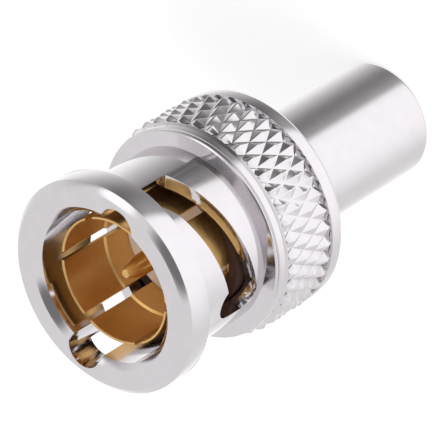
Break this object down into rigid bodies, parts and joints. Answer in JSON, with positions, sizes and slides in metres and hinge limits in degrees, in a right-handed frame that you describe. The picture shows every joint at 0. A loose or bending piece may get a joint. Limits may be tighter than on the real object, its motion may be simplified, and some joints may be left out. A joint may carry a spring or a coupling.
{
  "type": "bnc cable plug",
  "caption": "Crimp-on BNC cable plug: a knurled bayonet coupling nut with slanted cam slots turns round a slotted sleeve, white insulator and centre pin, ahead of a smooth crimp ferrule.",
  "frame": {"origin": "centre of the crimp ferrule's rear end, on which the plug stands", "axes": "+Z along the plug's axis towards its mating face, the way the plug is pushed onto its jack; +X through one of the nut's two entry grooves; +Y completes the right-handed frame"},
  "size_m": [0.0144, 0.0144, 0.0266],
  "materials": {
    "nickel_plate": "bright nickel plate on brass",
    "gold_plate": "gold plate on beryllium copper and brass",
    "ptfe": "turned PTFE",
    "silicone": "moulded silicone rubber",
    "spring_bronze": "stamped and plated spring bronze"
  },
  "bodies": {
    "plug": {"body": "nickel_plate", "outer_contact": "gold_plate", "centre_contact": "gold_plate", "insulator": "ptfe", "gasket": "silicone", "front_washer": "spring_bronze", "wave_washer": "spring_bronze", "retaining_ring": "spring_bronze"},
    "thrust_ring": {"rear_washer": "spring_bronze"},
    "nut": {"coupling_nut": "nickel_plate"},
    "ferrule": {"crimp_ferrule": "nickel_plate"}
  },
  "joints": [
    {"name": "nut_draw", "type": "slide", "parent": "plug", "child": "thrust_ring", "axis": [0, 0, 1], "range_m": [0, 0.0005], "stiffness_N_per_m": 2000, "springref_m": -0.0005, "deforming": ["wave_washer"]},
    {"name": "nut_turn", "type": "hinge", "parent": "thrust_ring", "child": "nut", "pos_m": [0, 0, 0.0195], "axis": [0, 0, 1], "continuous": true},
    {"name": "ferrule_slide", "type": "slide", "parent": "plug", "child": "ferrule", "axis": [0, 0, -1], "range_m": [0, 0.012]}
  ]
}
